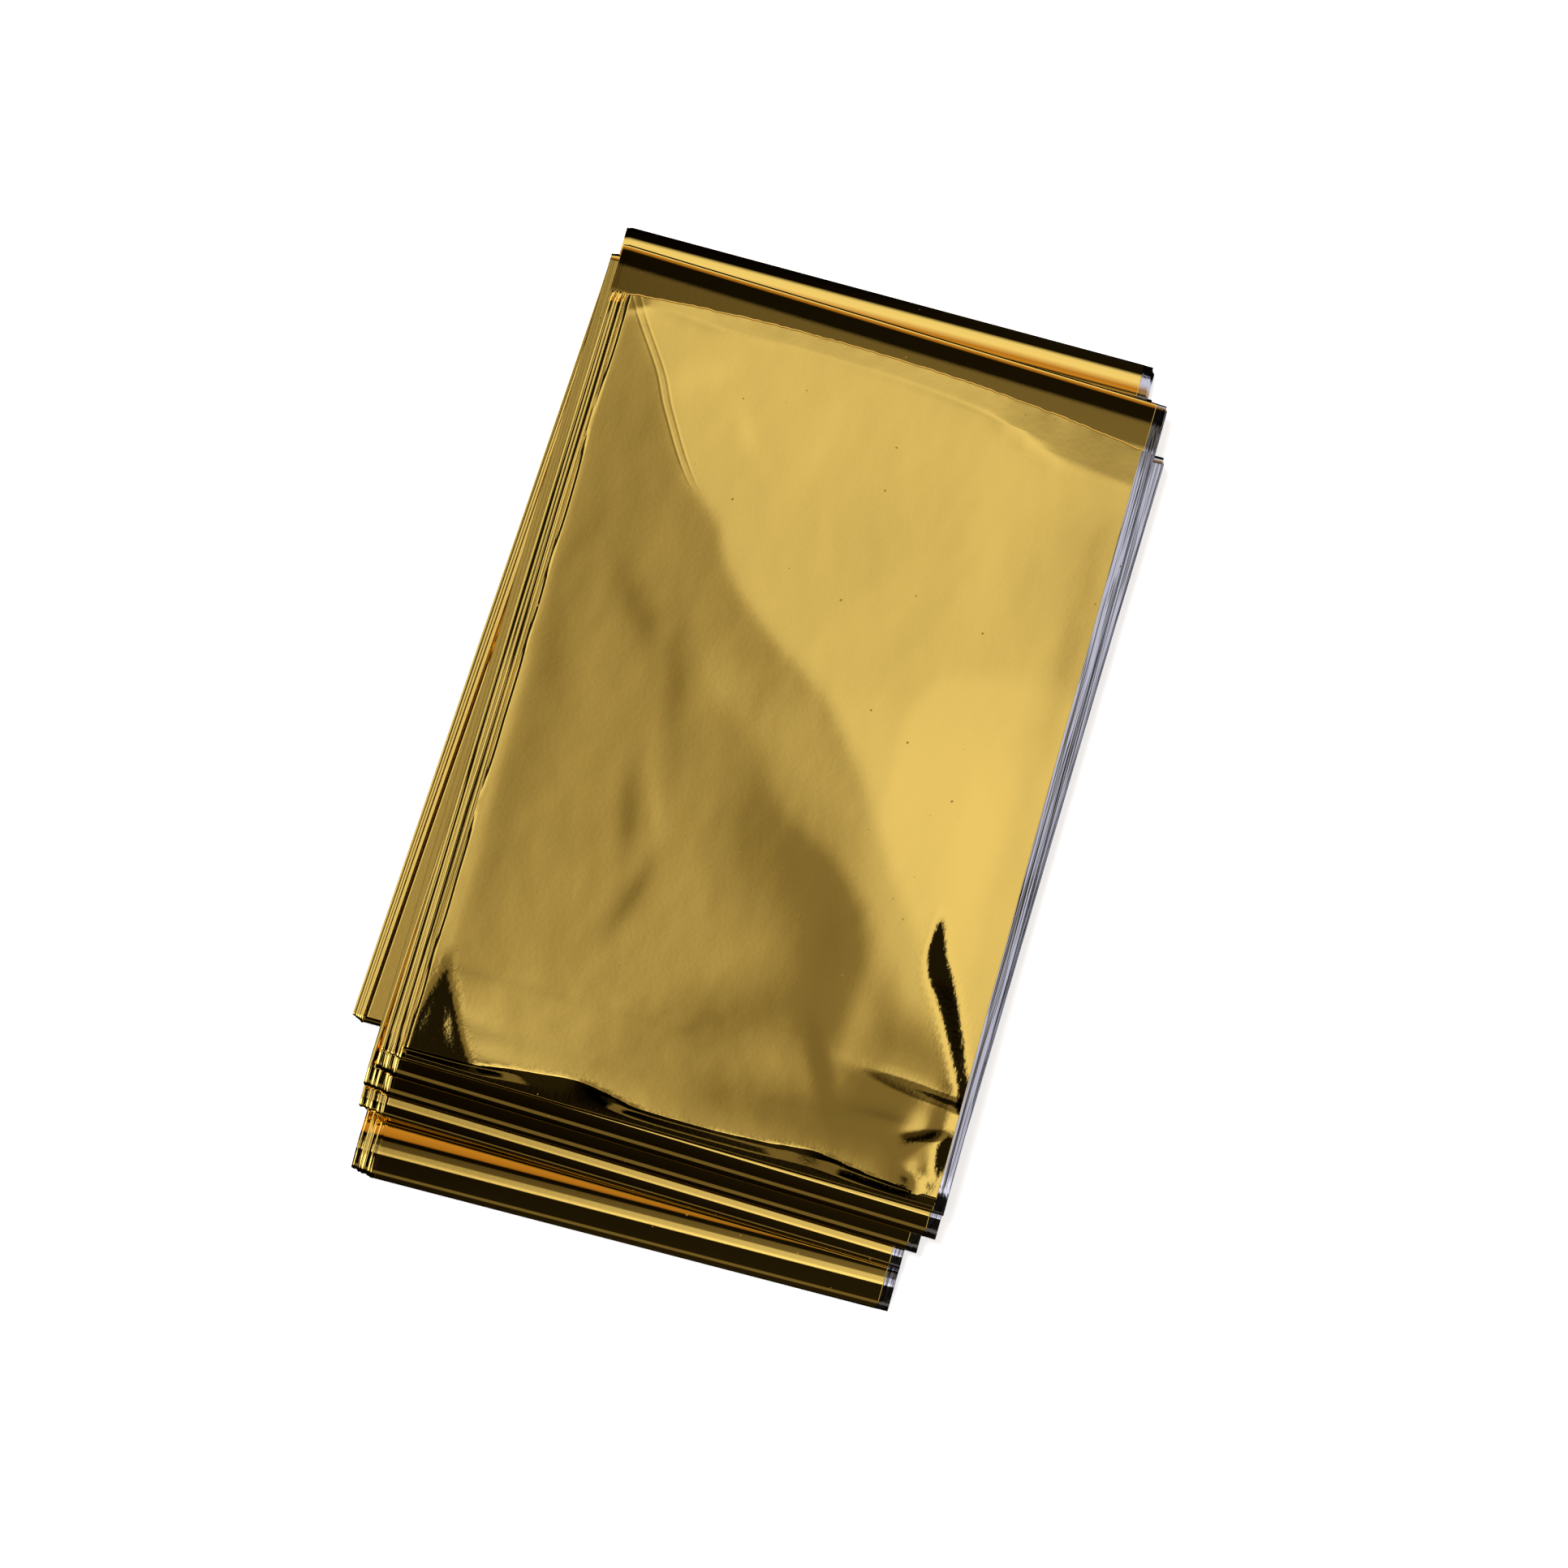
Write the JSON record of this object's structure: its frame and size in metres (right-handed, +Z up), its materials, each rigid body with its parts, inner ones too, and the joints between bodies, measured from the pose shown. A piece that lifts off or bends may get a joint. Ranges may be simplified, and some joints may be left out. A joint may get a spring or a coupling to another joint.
{
  "type": "emergency foil blanket",
  "caption": "Thin gold and silver foil blanket, pleated and folded into a flat rectangular packet, for keeping a person warm in an emergency.",
  "frame": {"origin": "under the middle of the packet, on its flat underside", "axes": "+Y along the packet's length, towards the end with the raw cut edge of the top pass; +Z up; +X towards the side where the silver folds show"},
  "size_m": [0.0976, 0.1513, 0.0167],
  "materials": {
    "gold_film": "mirror-bright metallised film, gold outside and silver inside"
  },
  "bodies": {
    "root": {"foil_blanket": "gold_film"}
  },
  "joints": []
}
